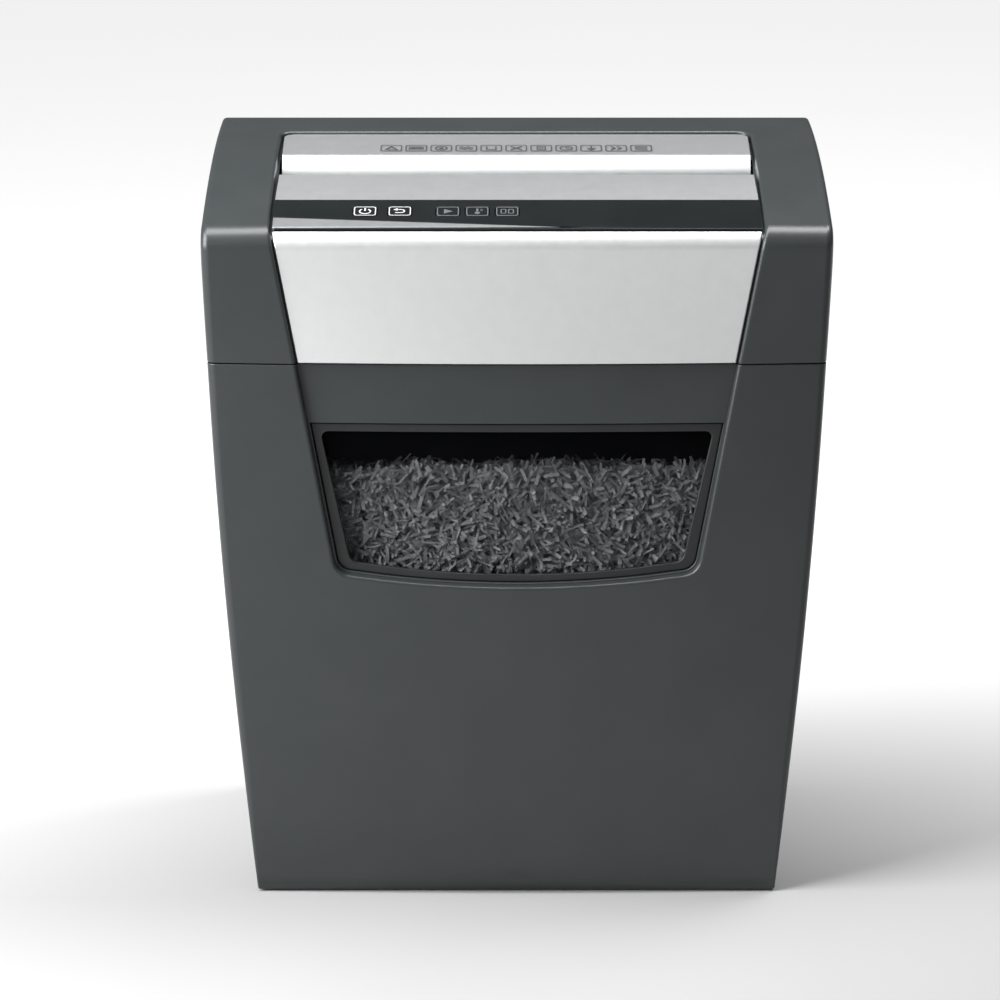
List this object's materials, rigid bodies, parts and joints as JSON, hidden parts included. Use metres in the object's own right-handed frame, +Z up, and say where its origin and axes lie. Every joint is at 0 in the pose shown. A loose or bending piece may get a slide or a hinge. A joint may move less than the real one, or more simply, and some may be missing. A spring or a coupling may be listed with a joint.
{
  "type": "paper shredder",
  "caption": "Cross-cut paper shredder: lift-off cutting head with silver feed throat and sloped key strip on a tapered bin with a smoked window.",
  "frame": {"origin": "centre of the base, on the floor under the feet", "axes": "+Z up, the front with the window faces -Y, +X to the right when looking at the front"},
  "size_m": [0.346, 0.2059, 0.414],
  "materials": {
    "body_plastic": "satin",
    "frame_plastic": "satin",
    "smoked_window": "gloss",
    "shreds": "matte",
    "rubber": "matte",
    "silver_trim": "satin",
    "gloss_panel": "gloss",
    "plate_steel": "satin",
    "cutter_steel": "satin",
    "gear_plastic": "satin",
    "bush_bronze": "satin",
    "circuit_board": "satin",
    "plunger_plastic": "satin"
  },
  "bodies": {
    "bin": {"bin_shell": "body_plastic", "window_frame": "frame_plastic", "window_pane": "smoked_window", "paper_heap": "shreds", "foot_front_left": "rubber", "foot_front_right": "rubber", "foot_rear_left": "rubber", "foot_rear_right": "rubber"},
    "head": {"head_shell": "body_plastic", "front_fascia": "silver_trim", "control_strip": "gloss_panel", "accent_trim": "silver_trim", "indicator_ready": "gloss_panel", "indicator_cooling": "gloss_panel", "indicator_overload": "gloss_panel", "front_chute": "silver_trim", "rear_chute": "silver_trim", "head_base": "frame_plastic", "side_plate_left": "plate_steel", "side_plate_right": "plate_steel", "tie_rod_1": "plate_steel", "tie_rod_2": "plate_steel", "tie_rod_3": "plate_steel", "tie_rod_4": "plate_steel", "idler_axle": "plate_steel", "motor_can": "plate_steel", "bush_front_left": "bush_bronze", "bush_front_right": "bush_bronze", "bush_rear_left": "bush_bronze", "bush_rear_right": "bush_bronze", "comb_front": "plate_steel", "comb_rear": "plate_steel", "gear_cover": "frame_plastic", "main_board": "circuit_board", "motor_relay": "frame_plastic", "smoothing_capacitor": "frame_plastic", "control_board": "circuit_board", "power_switch": "frame_plastic", "reverse_switch": "frame_plastic", "paper_sensor_lamp": "frame_plastic", "paper_sensor_eye": "frame_plastic", "interlock_switch": "frame_plastic", "cord_gland": "rubber", "base_screw_1": "plate_steel", "base_screw_2": "plate_steel", "base_screw_3": "plate_steel", "base_screw_4": "plate_steel"},
    "power_key": {"power_key": "gloss_panel"},
    "reverse_key": {"reverse_key": "gloss_panel"},
    "rear_cutter": {"cutter_shaft_rear": "cutter_steel", "drive_gear": "gear_plastic"},
    "front_cutter": {"cutter_shaft_front": "cutter_steel"},
    "idler": {"idler_gear": "gear_plastic"},
    "rotor": {"motor_rotor": "plate_steel"},
    "interlock_plunger": {"interlock_plunger": "plunger_plastic"}
  },
  "joints": [
    {"name": "head_lift", "type": "slide", "parent": "bin", "child": "head", "axis": [0, 0, 1], "range_m": [0, 0.12]},
    {"name": "power_press", "type": "slide", "parent": "head", "child": "power_key", "axis": [0, 0.2453, -0.9694], "range_m": [0, 0.001], "stiffness_N_per_m": 400},
    {"name": "reverse_press", "type": "slide", "parent": "head", "child": "reverse_key", "axis": [0, 0.2453, -0.9694], "range_m": [0, 0.001], "stiffness_N_per_m": 400},
    {"name": "rear_cutter_spin", "type": "hinge", "parent": "head", "child": "rear_cutter", "pos_m": [0, 0.0145, 0.35], "axis": [1, 0, 0], "continuous": true},
    {"name": "front_cutter_spin", "type": "hinge", "parent": "head", "child": "front_cutter", "pos_m": [0, -0.0215, 0.35], "axis": [1, 0, 0], "continuous": true},
    {"name": "idler_spin", "type": "hinge", "parent": "head", "child": "idler", "pos_m": [0, 0.04779, 0.37217], "axis": [1, 0, 0], "continuous": true},
    {"name": "rotor_spin", "type": "hinge", "parent": "head", "child": "rotor", "pos_m": [0, 0.068, 0.35], "axis": [1, 0, 0], "continuous": true},
    {"name": "interlock_travel", "type": "slide", "parent": "head", "child": "interlock_plunger", "axis": [0, 0, -1], "range_m": [0, 0.0015]}
  ],
  "couplings": [
    {"joint": "front_cutter_spin", "follows": "rear_cutter_spin", "ratio": -1},
    {"joint": "idler_spin", "follows": "rear_cutter_spin", "ratio": -4},
    {"joint": "rotor_spin", "follows": "rear_cutter_spin", "ratio": 16},
    {"joint": "interlock_travel", "follows": "head_lift", "ratio": 0.0125}
  ]
}
